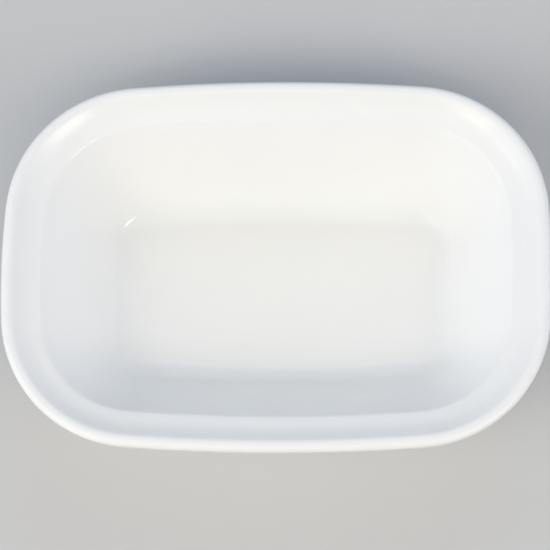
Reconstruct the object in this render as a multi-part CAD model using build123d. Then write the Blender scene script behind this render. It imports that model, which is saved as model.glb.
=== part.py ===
from build123d import *

import os
from math import atan2, degrees, hypot, sqrt

# A rectangular evaporating dish of glazed porcelain.
#
# An open dish with bowed sides and broad round corners. Inside its rounded lip a narrow shelf slopes gently
# down to a crease, steep walls run down from there, and a wide fillet leads into a flat floor. Underneath,
# a low foot ring carries the dish. The fired body is covered with glaze, which stops short of the foot
# ring's tread.
#
# Frame: millimetres, +Z up, +X along the long side, origin at the centre of the foot's resting plane.
#
# Every level of the dish is an offset of one outline, and the outline is eight tangent arcs. So the wall
# is one cross-section, turned about the centre of each arc, and a flat slab closes the middle.
# A cross-section point is (inset, height): inset is how far it lies inside the widest outline.

# The widest outline, at the lip.
LENGTH = 240.0
WIDTH = 167.4
LONG_SIDE_RADIUS = 860.0
SHORT_SIDE_RADIUS = 386.0
CORNER_RADIUS = 59.5

# Heights above the resting plane.
HEIGHT = 58.5
SHELF_TOP_Z = 53.9
CREASE_Z = 50.6
LIP_UNDERSIDE_Z = 52.2
FLANGE_ROOT_Z = 47.4
FLOOR_Z = 5.0
HEEL_Z = 2.0
RECESS_Z = 1.4

# Insets of the cross-section's corners, before they are rounded.
CREST_INSET = 4.6
SHELF_TOP_INSET = 9.4
CREASE_INSET = 17.0
WALL_FOOT_INSET = 44.9
FOOT_OUTER_INSET = 48.0
FOOT_WIDTH = 4.6
FOOT_DRAFT = 0.3
SLAB_INSET = 55.0

WALL_THICKNESS = 4.0

# Rounding radii, in order round the cross-section.
FLOOR_FILLET = 12.0
CREASE_FILLET = 3.0
SHELF_FILLET = 20.0
CREST_FILLET = 4.0
LIP_TOP_FILLET = 2.8
LIP_BOTTOM_FILLET = 2.4
NECK_FILLET = 6.0
HEEL_FILLET = 9.0
FOOT_ROOT_FILLET = 0.9
FOOT_EDGE_FILLET = 0.9

# The glaze, and how high above the resting plane it stops on the foot.
GLAZE = 0.3
GLAZE_LINE_Z = 0.9

# The cross-section is drawn this far past the slab's edge, and then trimmed there.
TRIM = 3.0


def outline_arcs():
    """The widest outline as (centre x, centre y, radius, first angle, last angle), counter-clockwise."""
    half_length, half_width = LENGTH / 2, WIDTH / 2
    long_y = half_width - LONG_SIDE_RADIUS
    short_x = half_length - SHORT_SIDE_RADIUS
    # The corner arc touches both sides from inside, which fixes its distance from both side centres.
    from_long = LONG_SIDE_RADIUS - CORNER_RADIUS
    from_short = SHORT_SIDE_RADIUS - CORNER_RADIUS
    apart = hypot(short_x, long_y)
    along = (from_long**2 - from_short**2 + apart**2) / (2 * apart)
    across = sqrt(from_long**2 - along**2)
    unit_x, unit_y = short_x / apart, -long_y / apart
    corner_x = along * unit_x + across * unit_y
    corner_y = long_y + along * unit_y - across * unit_x
    short_end = degrees(atan2(corner_y, corner_x - short_x))
    long_end = degrees(atan2(corner_y - long_y, corner_x))
    return [
        (short_x, 0, SHORT_SIDE_RADIUS, -short_end, short_end),
        (corner_x, corner_y, CORNER_RADIUS, short_end, long_end),
        (0, long_y, LONG_SIDE_RADIUS, long_end, 180 - long_end),
        (-corner_x, corner_y, CORNER_RADIUS, 180 - long_end, 180 - short_end),
        (-short_x, 0, SHORT_SIDE_RADIUS, 180 - short_end, 180 + short_end),
        (-corner_x, -corner_y, CORNER_RADIUS, 180 + short_end, 180 + long_end),
        (0, -long_y, LONG_SIDE_RADIUS, 180 + long_end, 360 - long_end),
        (corner_x, -corner_y, CORNER_RADIUS, 360 - long_end, 360 - short_end),
    ]


def outer_wall_inset(z):
    """Where the outer wall's line, parallel to the inner wall's, is at height z."""
    run = WALL_FOOT_INSET - CREASE_INSET
    drop = CREASE_Z - FLOOR_Z
    inner = CREASE_INSET + (CREASE_Z - z) * run / drop
    return inner - WALL_THICKNESS * hypot(run, drop) / drop


def skin_section():
    """The glazed dish's cross-section, as if the glaze also ran under the foot."""
    foot_bottom = -GLAZE
    foot_inner_inset = FOOT_OUTER_INSET + FOOT_WIDTH
    inner_end = SLAB_INSET + TRIM
    corners = [
        (inner_end, FLOOR_Z, None),
        (WALL_FOOT_INSET, FLOOR_Z, FLOOR_FILLET),
        (CREASE_INSET, CREASE_Z, CREASE_FILLET),
        (SHELF_TOP_INSET, SHELF_TOP_Z, SHELF_FILLET),
        (CREST_INSET, HEIGHT, CREST_FILLET),
        (0, HEIGHT, LIP_TOP_FILLET),
        (0, LIP_UNDERSIDE_Z, LIP_BOTTOM_FILLET),
        (outer_wall_inset(FLANGE_ROOT_Z), FLANGE_ROOT_Z, NECK_FILLET),
        (outer_wall_inset(HEEL_Z), HEEL_Z, HEEL_FILLET),
        (FOOT_OUTER_INSET, HEEL_Z, FOOT_ROOT_FILLET),
        (FOOT_OUTER_INSET + FOOT_DRAFT, foot_bottom, FOOT_EDGE_FILLET),
        (foot_inner_inset - FOOT_DRAFT, foot_bottom, FOOT_EDGE_FILLET),
        (foot_inner_inset, RECESS_Z, FOOT_ROOT_FILLET),
        (inner_end, RECESS_Z, None),
    ]
    points = [(inset, z) for inset, z, _ in corners]
    radii = [radius for _, _, radius in corners if radius is not None]
    skin = FilletPolyline(*points, radius=radii)
    seam = Line(points[-1], points[0])
    return make_face(skin.edges() + seam.edges())


def window(low_inset, high_inset, low_z, high_z):
    """A rectangle in the cross-section's plane."""
    middle = ((low_inset + high_inset) / 2, (low_z + high_z) / 2)
    return Pos(*middle) * Rectangle(high_inset - low_inset, high_z - low_z)


def sections():
    """The cross-sections of the body, of the glaze over the dish, and of the glaze under its base."""
    skin = skin_section()
    kept = window(-TRIM, SLAB_INSET, -TRIM, HEIGHT + TRIM)
    core = offset(skin, amount=-GLAZE, kind=Kind.ARC)
    bare = window(FOOT_OUTER_INSET - TRIM, FOOT_OUTER_INSET + FOOT_WIDTH + TRIM, -TRIM, GLAZE_LINE_Z)
    body = core & kept
    glaze = (skin - core - bare) & kept
    under, over = sorted(glaze.faces(), key=lambda face: face.bounding_box().max.Y)
    return body.faces()[0], over, under


def wedge(section, arc):
    """The cross-section turned about one outline arc's centre, over that arc's angle."""
    centre_x, centre_y, radius, first, last = arc
    upright = Plane(origin=(radius, 0, 0), x_dir=(-1, 0, 0), z_dir=(0, 1, 0))
    turned = revolve(upright * section, axis=Axis.Z, revolution_arc=last - first)
    return Pos(centre_x, centre_y) * Rot(Z=first) * turned


def slab(low_z, high_z):
    """The flat middle of a layer, inside SLAB_INSET."""
    edges = [
        CenterArc((x, y), radius - SLAB_INSET, first, last - first)
        for x, y, radius, first, last in outline_arcs()
    ]
    face = make_face(Wire(edges))
    return extrude(Pos(0, 0, low_z) * face, amount=high_z - low_z)


def layer(section, low_z, high_z):
    """One layer of the dish: its ring from the cross-section, closed by its slab."""
    ring = [wedge(section, arc) for arc in outline_arcs()]
    return (slab(low_z, high_z) + ring).clean()


def main():
    body_section, over_section, under_section = sections()
    parts = {
        "porcelain_body": layer(body_section, RECESS_Z + GLAZE, FLOOR_Z - GLAZE),
        "glaze_coat": layer(over_section, FLOOR_Z - GLAZE, FLOOR_Z),
        "base_glaze": layer(under_section, RECESS_Z, RECESS_Z + GLAZE),
    }
    os.makedirs("parts", exist_ok=True)
    for name, part in parts.items():
        part.label = name
        export_step(part, f"parts/{name}.step")
        print(name, len(part.solids()), "solid,", round(part.volume), "mm3")


main()
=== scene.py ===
from cmath import phase, rect
from math import ceil, copysign, cos, hypot, pi, radians, sin, sqrt, tan

import bpy
from mathutils import Matrix, Vector, noise


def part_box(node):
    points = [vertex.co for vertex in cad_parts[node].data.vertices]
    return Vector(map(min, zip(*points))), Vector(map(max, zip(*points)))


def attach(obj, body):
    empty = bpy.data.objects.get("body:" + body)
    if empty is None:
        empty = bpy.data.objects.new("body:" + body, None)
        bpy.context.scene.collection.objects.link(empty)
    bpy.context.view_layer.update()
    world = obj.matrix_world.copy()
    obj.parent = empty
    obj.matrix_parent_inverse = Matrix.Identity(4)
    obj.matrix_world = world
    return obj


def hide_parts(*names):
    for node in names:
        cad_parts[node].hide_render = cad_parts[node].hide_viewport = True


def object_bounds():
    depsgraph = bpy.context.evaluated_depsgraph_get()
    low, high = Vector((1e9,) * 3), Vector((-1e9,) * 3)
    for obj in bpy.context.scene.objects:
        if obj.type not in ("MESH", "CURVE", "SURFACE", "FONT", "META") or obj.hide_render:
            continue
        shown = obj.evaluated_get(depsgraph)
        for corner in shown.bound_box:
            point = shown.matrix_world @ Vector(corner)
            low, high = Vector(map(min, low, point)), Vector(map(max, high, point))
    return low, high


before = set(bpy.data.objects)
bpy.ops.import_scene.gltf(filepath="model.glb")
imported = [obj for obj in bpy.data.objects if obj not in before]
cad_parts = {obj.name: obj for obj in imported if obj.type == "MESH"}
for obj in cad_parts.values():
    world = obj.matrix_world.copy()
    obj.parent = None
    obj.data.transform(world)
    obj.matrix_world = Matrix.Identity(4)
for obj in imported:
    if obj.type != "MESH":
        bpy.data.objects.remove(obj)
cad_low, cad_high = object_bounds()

# A glazed porcelain evaporating dish, seen from above on a plain pale table in soft studio light.
# Metres and radians, in the frame of the CAD model: +X along the long side, +Z up, the foot on z = 0.
#
# Every level of the dish is an offset of one outline of eight tangent arcs. A glaze skin is a loop in
# the dish's cross-section, carried round that outline. Plane points are complex numbers: x + y * 1j in
# plan, and inset + height * 1j in the cross-section, where inset is measured in from the widest outline.

# The widest outline.
HALF_LENGTH = (cad_high[0] - cad_low[0]) / 2
HALF_WIDTH = (cad_high[1] - cad_low[1]) / 2
LONG_SIDE_RADIUS = 0.860
SHORT_SIDE_RADIUS = 0.386
CORNER_RADIUS = 0.0595

# The cross-section's heights above the table.
HEIGHT = cad_high[2]
SHELF_TOP_Z = 0.0539
CREASE_Z = 0.0506
LIP_UNDERSIDE_Z = 0.0522
FLANGE_ROOT_Z = 0.0474
FLOOR_Z = 0.0050
HEEL_Z = 0.0020
BASE_GLAZE_TOP_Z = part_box("base_glaze")[1][2]
GLAZE_LINE_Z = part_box("glaze_coat")[0][2]

# Its insets from the widest outline.
CREST_INSET = 0.0046
SHELF_TOP_INSET = 0.0094
CREASE_INSET = 0.0170
WALL_FOOT_INSET = 0.0449
FOOT_OUTER_INSET = 0.0480
FOOT_INNER_INSET = 0.0526
MIDDLE_INSET = 0.0550

# Its rounding radii, from the floor over the lip and down to the foot ring.
FLOOR_FILLET = 0.0120
CREASE_FILLET = 0.0030
SHELF_FILLET = 0.0200
CREST_FILLET = 0.0040
LIP_TOP_FILLET = 0.0028
LIP_BOTTOM_FILLET = 0.0024
NECK_FILLET = 0.0060
HEEL_FILLET = 0.0090
FOOT_ROOT_FILLET = 0.0009
RECESS_FILLET = 0.0003

# The wall, its glaze, and the glaze's rounded edge on the foot ring.
WALL_THICKNESS = 0.0040
GLAZE = 0.0003
BEAD_RADIUS = 0.00014

# How finely the skins are divided.
OUTLINE_STEP = 0.0020
LINE_STEP = 0.0020
ARC_STEP = radians(8)

# Above the foot, the hand-finished surface lies up to WANDER below its true shape. It rises and falls
# over WANDER_REACH.
WANDER = 0.00012
WANDER_REACH = 0.035
FOOT_TOP_Z = 0.0040

# The molten glaze evened out over this distance from each edge and hollow.
POOL_REACH = 0.0030

# The camera: where it looks from, how it is turned about its own axis, and what it looks at.
VIEW_AZIMUTH = radians(10.9)
VIEW_ELEVATION = radians(74.4)
VIEW_ROLL = radians(10.6)
VIEW_DISTANCE = 1.134
VIEW_AIM = Vector((-0.0001, -0.0048, 0.0551))
LENS = 170.6

TABLE_SIZE = 3.0

# Colours. The glaze is slightly brighter where it ran thin over edges than where it pooled in hollows.
THIN_GLAZE = (0.90, 0.90, 0.885, 1)
PLAIN_GLAZE = (0.90, 0.90, 0.88, 1)
POOLED_GLAZE = (0.888, 0.90, 0.89, 1)
MOTTLED_GLAZE = (0.875, 0.875, 0.86, 1)
BISCUIT = (0.74, 0.71, 0.65, 1)
RUBBED_BISCUIT = (0.55, 0.53, 0.50, 1)
TABLE_TOP = (0.592, 0.592, 0.585, 1)
SURROUND = (0.20, 0.22, 0.26, 1)
BACKDROP = (0.56, 0.57, 0.59, 1)

# A noise value mostly lies in this range.
NOISE_RANGE = (0.3, 0.7)

# The glaze's surface. Its roughness varies within a range, and WEAR is added to it on the shelf and the
# lip, where it is handled most. A thickness of THIN_POOL or less is thin, and FULL_POOL or more is pooled.
GLAZE_ROUGHNESS = (0.11, 0.16)
GLAZE_IOR = 1.5
SHEEN_SIZE = 0.015
WEAR = 0.10
THIN_POOL = -0.6
FULL_POOL = 0.3
MOTTLE_SIZE = 0.030
MOTTLE_RANGE = (0.35, 0.75)
MOTTLE_STRENGTH = 0.35
RIPPLE_SIZE = 0.012
RIPPLE_DEPTH = 0.00010
PEEL_SIZE = 0.0014
PEEL_DEPTH = 0.000008

# The bare fired body's surface, and the table's roughness.
BISCUIT_ROUGHNESS = (0.75, 0.95)
BISCUIT_IOR = 1.45
GRAIN_SIZE = 0.0004
GRAIN_DEPTH = 0.00006
RUB_SIZE = 0.006
RUB_RANGE = (0.45, 0.7)
RUB_STRENGTH = 0.5
TABLE_ROUGHNESS = 0.9

# The soft lights: how far away they stand, and the sizes of each kind.
LIGHT_DISTANCE = 2.0
SOFTBOX = (1.3, 1.0)
STRIP = (1.3, 0.75)
REFLECTOR = (2.2, 1.0)
LAMP = (0.6, 0.6)
WINDOW = (0.9, 0.3)
SIDE_WINDOW = (0.4, 0.3)

# The colours of their light.
WARM = (1.0, 0.97, 0.84)
AMBER = (1.0, 0.85, 0.75)
NEUTRAL = (0.95, 1.0, 0.95)
LILAC = (0.78, 0.80, 1.0)
SKY = (0.60, 0.78, 1.0)


def outline_arcs():
    """The widest outline as (centre, radius, first angle, last angle), counter-clockwise from +X."""
    long_centre = complex(0, HALF_WIDTH - LONG_SIDE_RADIUS)
    short_centre = complex(HALF_LENGTH - SHORT_SIDE_RADIUS, 0)
    # The corner arc touches both sides from inside, which fixes its distance from both side centres.
    from_long = LONG_SIDE_RADIUS - CORNER_RADIUS
    from_short = SHORT_SIDE_RADIUS - CORNER_RADIUS
    between = short_centre - long_centre
    along = (from_long**2 - from_short**2 + abs(between)**2) / (2 * abs(between))
    across = sqrt(from_long**2 - along**2)
    corner_centre = long_centre + between / abs(between) * complex(along, -across)
    short_end = phase(corner_centre - short_centre)
    long_end = phase(corner_centre - long_centre)
    half = [
        (short_centre, SHORT_SIDE_RADIUS, -short_end, short_end),
        (corner_centre, CORNER_RADIUS, short_end, long_end),
        (long_centre, LONG_SIDE_RADIUS, long_end, pi - long_end),
        (-corner_centre.conjugate(), CORNER_RADIUS, pi - long_end, pi - short_end),
    ]
    return half + [(-centre, radius, first + pi, last + pi) for centre, radius, first, last in half]


def outline_rays():
    """A (centre, direction, radius) for each point round the outline, evenly spaced along it."""
    rays = []
    for centre, radius, first, last in outline_arcs():
        count = ceil(radius * (last - first) / OUTLINE_STEP)
        rays += [(centre, rect(1, first + (last - first) * i / count), radius) for i in range(count)]
    return rays


def plan_point(ray, inset):
    """A point on the ray, inset. Past MIDDLE_INSET it moves straight to the dish's middle instead."""
    centre, direction, radius = ray
    true_inset = min(inset, MIDDLE_INSET)
    shrink = (HALF_WIDTH - inset) / (HALF_WIDTH - true_inset)
    return (centre + (radius - true_inset) * direction) * shrink


def add_line(path, end):
    """Points on the straight line from the path's last point towards end, without end itself."""
    start = path[-1][0]
    steps = ceil(abs(end - start) / LINE_STEP)
    path += [(start + (end - start) * i / steps, 0.0) for i in range(1, steps)]


def rounded_path(corners):
    """A smooth path through (inset, height, radius) corners, as (point, bend) pairs.

    bend is 1 / radius on an arc that turns left, its negative on one that turns right, and 0 on a line.
    """
    spots = [complex(inset, z) for inset, z, _ in corners]
    path = [(spots[0], 0.0)]
    for before, here, after, (_, _, radius) in zip(spots, spots[1:], spots[2:], corners[1:]):
        heading = (here - before) / abs(here - before)
        turn = phase((after - here) / heading)
        start = here - heading * radius * tan(abs(turn) / 2)
        add_line(path, start)
        side = copysign(1, turn)
        steps = ceil(abs(turn) / ARC_STEP)
        for i in range(steps + 1):
            angle = abs(turn) * i / steps
            swing = complex(sin(angle), side * (1 - cos(angle)))
            path.append((start + heading * radius * swing, side / radius))
    add_line(path, spots[-1])
    path.append((spots[-1], 0.0))
    return path


def outer_wall_inset(z):
    """Where the outer wall's line, parallel to the inner wall's, is at height z."""
    run = WALL_FOOT_INSET - CREASE_INSET
    drop = CREASE_Z - FLOOR_Z
    inner = CREASE_INSET + (CREASE_Z - z) * run / drop
    return inner - WALL_THICKNESS * hypot(run, drop) / drop


def dish_path():
    """The glaze's face over the dish: from the middle of the floor, over the lip and down to the foot."""
    return rounded_path([
        (HALF_WIDTH, FLOOR_Z, 0),
        (WALL_FOOT_INSET, FLOOR_Z, FLOOR_FILLET),
        (CREASE_INSET, CREASE_Z, CREASE_FILLET),
        (SHELF_TOP_INSET, SHELF_TOP_Z, SHELF_FILLET),
        (CREST_INSET, HEIGHT, CREST_FILLET),
        (0, HEIGHT, LIP_TOP_FILLET),
        (0, LIP_UNDERSIDE_Z, LIP_BOTTOM_FILLET),
        (outer_wall_inset(FLANGE_ROOT_Z), FLANGE_ROOT_Z, NECK_FILLET),
        (outer_wall_inset(HEEL_Z), HEEL_Z, HEEL_FILLET),
        (FOOT_OUTER_INSET, HEEL_Z, FOOT_ROOT_FILLET),
        (FOOT_OUTER_INSET, GLAZE_LINE_Z, BEAD_RADIUS),
        (FOOT_OUTER_INSET + GLAZE, GLAZE_LINE_Z, 0),
    ])


def base_path():
    """The glaze's face under the base: from the foot ring's inner side to the middle."""
    recess_z = BASE_GLAZE_TOP_Z - GLAZE
    return rounded_path([
        (FOOT_INNER_INSET - GLAZE, GLAZE_LINE_Z, 0),
        (FOOT_INNER_INSET, GLAZE_LINE_Z, BEAD_RADIUS),
        (FOOT_INNER_INSET, recess_z, RECESS_FILLET),
        (HALF_WIDTH, recess_z, 0),
    ])


def air_sides(points):
    """The unit direction out of the glaze at each point of a path."""
    neighbours = zip(points[:1] + points[:-1], points[1:] + points[-1:])
    return [-1j * (after - before) / abs(after - before) for before, after in neighbours]


def pooling(path):
    """How thick the molten glaze lay at each point: above 0 in hollows, below 0 on edges."""
    travelled = [0.0]
    for (before, _), (here, _) in zip(path, path[1:]):
        travelled.append(travelled[-1] + abs(here - before))
    thickness = []
    for spot in travelled:
        near = [bend for place, (_, bend) in zip(travelled, path) if abs(place - spot) < POOL_REACH]
        thickness.append(max(-1.0, min(1.0, -POOL_REACH * sum(near) / len(near))))
    return thickness


def section_loop(path):
    """The skin's closed cross-section from the middle back to it: (point, air side, pooling, is face)."""
    points = [point for point, _ in path]
    sides = air_sides(points)
    face = [(point, side, pool, True) for point, side, pool in zip(points, sides, pooling(path))]
    hidden = [
        (point - side * GLAZE, side, 0.0, False)
        for point, side in zip(points, sides)
        if point.imag > GLAZE_LINE_Z + GLAZE
    ]
    hidden.reverse()
    return face + hidden if points[0].real == HALF_WIDTH else hidden + face


def wandered(place, z, direction, side):
    """The point at place and z, moved into the glaze by the hand-finished surface's unevenness."""
    depth = WANDER * (1 + noise.noise(Vector((place.real, place.imag, z)) / WANDER_REACH)) / 2
    place += direction * side.real * depth
    return place.real, place.imag, z - side.imag * depth


def skin_mesh(name, loop):
    """A closed mesh: the section loop carried round the outline. Its two ends are single middle points."""
    rays = outline_rays()
    count = len(rays)
    points = []
    pools = []
    for point, side, pool, is_face in loop[1:-1]:
        for ray in rays:
            place = plan_point(ray, point.real)
            if is_face and point.imag > FOOT_TOP_Z:
                points.append(wandered(place, point.imag, ray[1], side))
            else:
                points.append((place.real, place.imag, point.imag))
            pools.append(pool)
    rings = len(loop) - 2
    first_middle, last_middle = len(points), len(points) + 1
    points += [(0, 0, loop[0][0].imag), (0, 0, loop[-1][0].imag)]
    pools += [0.0, 0.0]
    faces = []
    for i in range(count):
        j = (i + 1) % count
        faces.append((first_middle, i, j))
        for row in range(0, (rings - 1) * count, count):
            faces.append((row + i, row + count + i, row + count + j, row + j))
        faces.append((last_middle, (rings - 1) * count + j, (rings - 1) * count + i))
    mesh = bpy.data.meshes.new(name)
    mesh.from_pydata(points, [], faces)
    mesh.polygons.foreach_set("use_smooth", [True] * len(faces))
    mesh.attributes.new("pooling", "FLOAT", "POINT").data.foreach_set("value", pools)
    return mesh


def build_skin(name, path, node, material):
    """A glaze skin that stands for a CAD node."""
    mesh = skin_mesh(name, section_loop(path))
    mesh.materials.append(material)
    piece = bpy.data.objects.new(name, mesh)
    bpy.context.scene.collection.objects.link(piece)
    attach(piece, "root")
    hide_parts(node)


class Nodes:
    """A new node material, with short calls to add and join its nodes."""

    def __init__(self, name):
        self.material = bpy.data.materials.new(name)
        self.material.use_nodes = True
        self.tree = self.material.node_tree
        self.shader = self.tree.nodes["Principled BSDF"]

    def add(self, kind, inputs=None, **settings):
        """A node of the given kind. An input is a plain value or another node's output."""
        node = self.tree.nodes.new("ShaderNode" + kind)
        for key, value in settings.items():
            setattr(node, key, value)
        self.feed(node, inputs or {})
        return node

    def feed(self, node, inputs):
        """Sets or links a node's inputs."""
        for key, value in inputs.items():
            if isinstance(value, bpy.types.NodeSocket):
                self.tree.links.new(value, node.inputs[key])
            else:
                node.inputs[key].default_value = value

    def noise(self, size, detail=2.0):
        """A noise value, mostly within NOISE_RANGE, whose features are about size metres across."""
        place = self.add("TexCoord").outputs["Object"]
        return self.add("TexNoise", {"Vector": place, "Scale": 1 / size, "Detail": detail}).outputs["Fac"]

    def remap(self, value, old_range, new_range):
        """The value moved from one range to another, and kept inside it."""
        inputs = {"Value": value}
        inputs["From Min"], inputs["From Max"] = old_range
        inputs["To Min"], inputs["To Max"] = new_range
        return self.add("MapRange", inputs).outputs["Result"]

    def blend(self, factor, first, second):
        """A colour between two colours."""
        node = self.add("Mix", data_type="RGBA")
        # The mix node's factor is input 0. Its colours are inputs 6 and 7, and output 2.
        self.feed(node, {0: factor, 6: first, 7: second})
        return node.outputs[2]

    def sum(self, first, second):
        return self.add("Math", {0: first, 1: second}, operation="ADD").outputs["Value"]

    def bump(self, height, distance, normal=None):
        """The surface's direction, tilted by the height, on top of another direction if one is given."""
        inputs = {"Height": height, "Distance": distance}
        if normal:
            inputs["Normal"] = normal
        return self.add("Bump", inputs).outputs["Normal"]


def glaze_material():
    """White glaze: tinted by how thick it lay, faintly mottled, and faintly rippled like poured glaze."""
    nodes = Nodes("white_glaze")
    pool = nodes.add("Attribute", attribute_name="pooling").outputs["Fac"]
    thin_to_plain = nodes.blend(nodes.remap(pool, (THIN_POOL, 0), (0, 1)), THIN_GLAZE, PLAIN_GLAZE)
    colour = nodes.blend(nodes.remap(pool, (0, FULL_POOL), (0, 1)), thin_to_plain, POOLED_GLAZE)
    mottle = nodes.remap(nodes.noise(MOTTLE_SIZE), MOTTLE_RANGE, (0, MOTTLE_STRENGTH))
    ripple = nodes.bump(nodes.noise(RIPPLE_SIZE, detail=1.0), RIPPLE_DEPTH)
    peel = nodes.bump(nodes.noise(PEEL_SIZE, detail=1.0), PEEL_DEPTH, ripple)
    height = nodes.add("SeparateXYZ", {0: nodes.add("TexCoord").outputs["Object"]}).outputs["Z"]
    worn = nodes.remap(height, (CREASE_Z, SHELF_TOP_Z), (0, WEAR))
    fresh = nodes.remap(nodes.noise(SHEEN_SIZE), NOISE_RANGE, GLAZE_ROUGHNESS)
    nodes.feed(nodes.shader, {
        "Base Color": nodes.blend(mottle, colour, MOTTLED_GLAZE),
        "Roughness": nodes.sum(fresh, worn),
        "IOR": GLAZE_IOR,
        "Normal": peel,
    })
    return nodes.material


def biscuit_material():
    """The bare fired body: matt, sandy, and slightly greyed where it rubs on the bench."""
    nodes = Nodes("bare_biscuit")
    grain = nodes.noise(GRAIN_SIZE, detail=4.0)
    rubbed = nodes.remap(nodes.noise(RUB_SIZE, detail=3.0), RUB_RANGE, (0, RUB_STRENGTH))
    nodes.feed(nodes.shader, {
        "Base Color": nodes.blend(rubbed, BISCUIT, RUBBED_BISCUIT),
        "Roughness": nodes.remap(grain, NOISE_RANGE, BISCUIT_ROUGHNESS),
        "IOR": BISCUIT_IOR,
        "Normal": nodes.bump(grain, GRAIN_DEPTH),
    })
    return nodes.material


def build_table():
    """The plain pale floor."""
    bpy.ops.mesh.primitive_plane_add(size=TABLE_SIZE)
    table = bpy.context.object
    table.name = "table"
    nodes = Nodes("pale_table")
    nodes.feed(nodes.shader, {"Base Color": TABLE_TOP, "Roughness": TABLE_ROUGHNESS})
    table.data.materials.append(nodes.material)


def towards(azimuth, elevation):
    """The direction from the dish to a light or camera. Azimuth 0 is in front, 90 degrees on the right."""
    return Vector((sin(azimuth) * cos(elevation), -cos(azimuth) * cos(elevation), sin(elevation)))


def soft_light(name, azimuth, elevation, size, power, colour, mirrored):
    """A rectangular soft light aimed at the dish. It is either mirrored in the glaze, or only shades.

    The angles are in degrees and the power is in watts.
    """
    light = bpy.data.lights.new(name, "AREA")
    light.shape = "RECTANGLE"
    light.size, light.size_y = size
    light.energy = power
    light.color = colour
    lamp = bpy.data.objects.new(name, light)
    direction = towards(radians(azimuth), radians(elevation))
    lamp.location = VIEW_AIM + direction * LIGHT_DISTANCE
    lamp.rotation_euler = direction.to_track_quat("Z", "Y").to_euler()
    lamp.visible_glossy = mirrored
    lamp.visible_diffuse = not mirrored
    bpy.context.scene.collection.objects.link(lamp)


def build_shading_lights():
    """Warm keys from both front sides, and cooler light low at the sides and from behind."""
    soft_light("left_key_light", -60, 38, SOFTBOX, 12.0, WARM, mirrored=False)
    soft_light("right_key_light", 55, 38, SOFTBOX, 9.0, WARM, mirrored=False)
    soft_light("fill_light", -30, 58, SOFTBOX, 7.0, NEUTRAL, mirrored=False)
    soft_light("left_lamp", -25, 60, LAMP, 3.5, AMBER, mirrored=False)
    soft_light("right_lamp", 25, 60, LAMP, 5.5, AMBER, mirrored=False)
    soft_light("left_low_light", -90, 15, STRIP, 11.0, LILAC, mirrored=False)
    soft_light("right_low_light", 90, 15, STRIP, 8.0, LILAC, mirrored=False)
    soft_light("back_light", 172, 38, SOFTBOX, 7.5, SKY, mirrored=False)


def build_mirrored_lights():
    """Broad reflectors that give the glaze its sheen, and windows that give it small highlights."""
    soft_light("left_reflector", -48, 27, REFLECTOR, 1.0, NEUTRAL, mirrored=True)
    soft_light("right_reflector", 45, 27, REFLECTOR, 3.5, NEUTRAL, mirrored=True)
    soft_light("back_reflector", 180, 55, REFLECTOR, 4.0, AMBER, mirrored=True)
    soft_light("left_window", -40, 30, WINDOW, 3.2, WARM, mirrored=True)
    soft_light("side_window", -75, 30, SIDE_WINDOW, 1.4, SKY, mirrored=True)
    soft_light("right_window", 45, 30, WINDOW, 5.0, WARM, mirrored=True)


def build_surround():
    """Dim cool light from all round. The camera sees it as a plain pale backdrop."""
    world = bpy.data.worlds.new("studio")
    world.use_nodes = True
    tree = world.node_tree
    surround = tree.nodes["Background"]
    surround.inputs["Color"].default_value = SURROUND
    backdrop = tree.nodes.new("ShaderNodeBackground")
    backdrop.inputs["Color"].default_value = BACKDROP
    path = tree.nodes.new("ShaderNodeLightPath")
    shown = tree.nodes.new("ShaderNodeMixShader")
    tree.links.new(path.outputs["Is Camera Ray"], shown.inputs[0])
    tree.links.new(surround.outputs[0], shown.inputs[1])
    tree.links.new(backdrop.outputs[0], shown.inputs[2])
    tree.links.new(shown.outputs[0], tree.nodes["World Output"].inputs["Surface"])
    bpy.context.scene.world = world


def build_camera():
    """The camera, turned about its own axis."""
    back = towards(VIEW_AZIMUTH, VIEW_ELEVATION)
    level_right = Vector((cos(VIEW_AZIMUTH), sin(VIEW_AZIMUTH), 0))
    level_up = back.cross(level_right)
    right = level_right * cos(VIEW_ROLL) - level_up * sin(VIEW_ROLL)
    up = level_right * sin(VIEW_ROLL) + level_up * cos(VIEW_ROLL)
    data = bpy.data.cameras.new("camera")
    data.lens = LENS
    camera = bpy.data.objects.new("camera", data)
    turn = Matrix((right, up, back)).transposed().to_4x4()
    camera.matrix_world = Matrix.Translation(VIEW_AIM + back * VIEW_DISTANCE) @ turn
    bpy.context.scene.collection.objects.link(camera)
    bpy.context.scene.camera = camera


def dress_body(material):
    """The fired body keeps its CAD shape, and shows only on its foot ring."""
    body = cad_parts["porcelain_body"]
    for slot in body.material_slots:
        slot.material = material


def main():
    build_camera()
    build_shading_lights()
    build_mirrored_lights()
    build_surround()
    build_table()
    glaze = glaze_material()
    build_skin("dish_glaze", dish_path(), "glaze_coat", glaze)
    build_skin("under_glaze", base_path(), "base_glaze", glaze)
    dress_body(biscuit_material())
    bpy.context.scene.view_settings.view_transform = "Standard"


main()
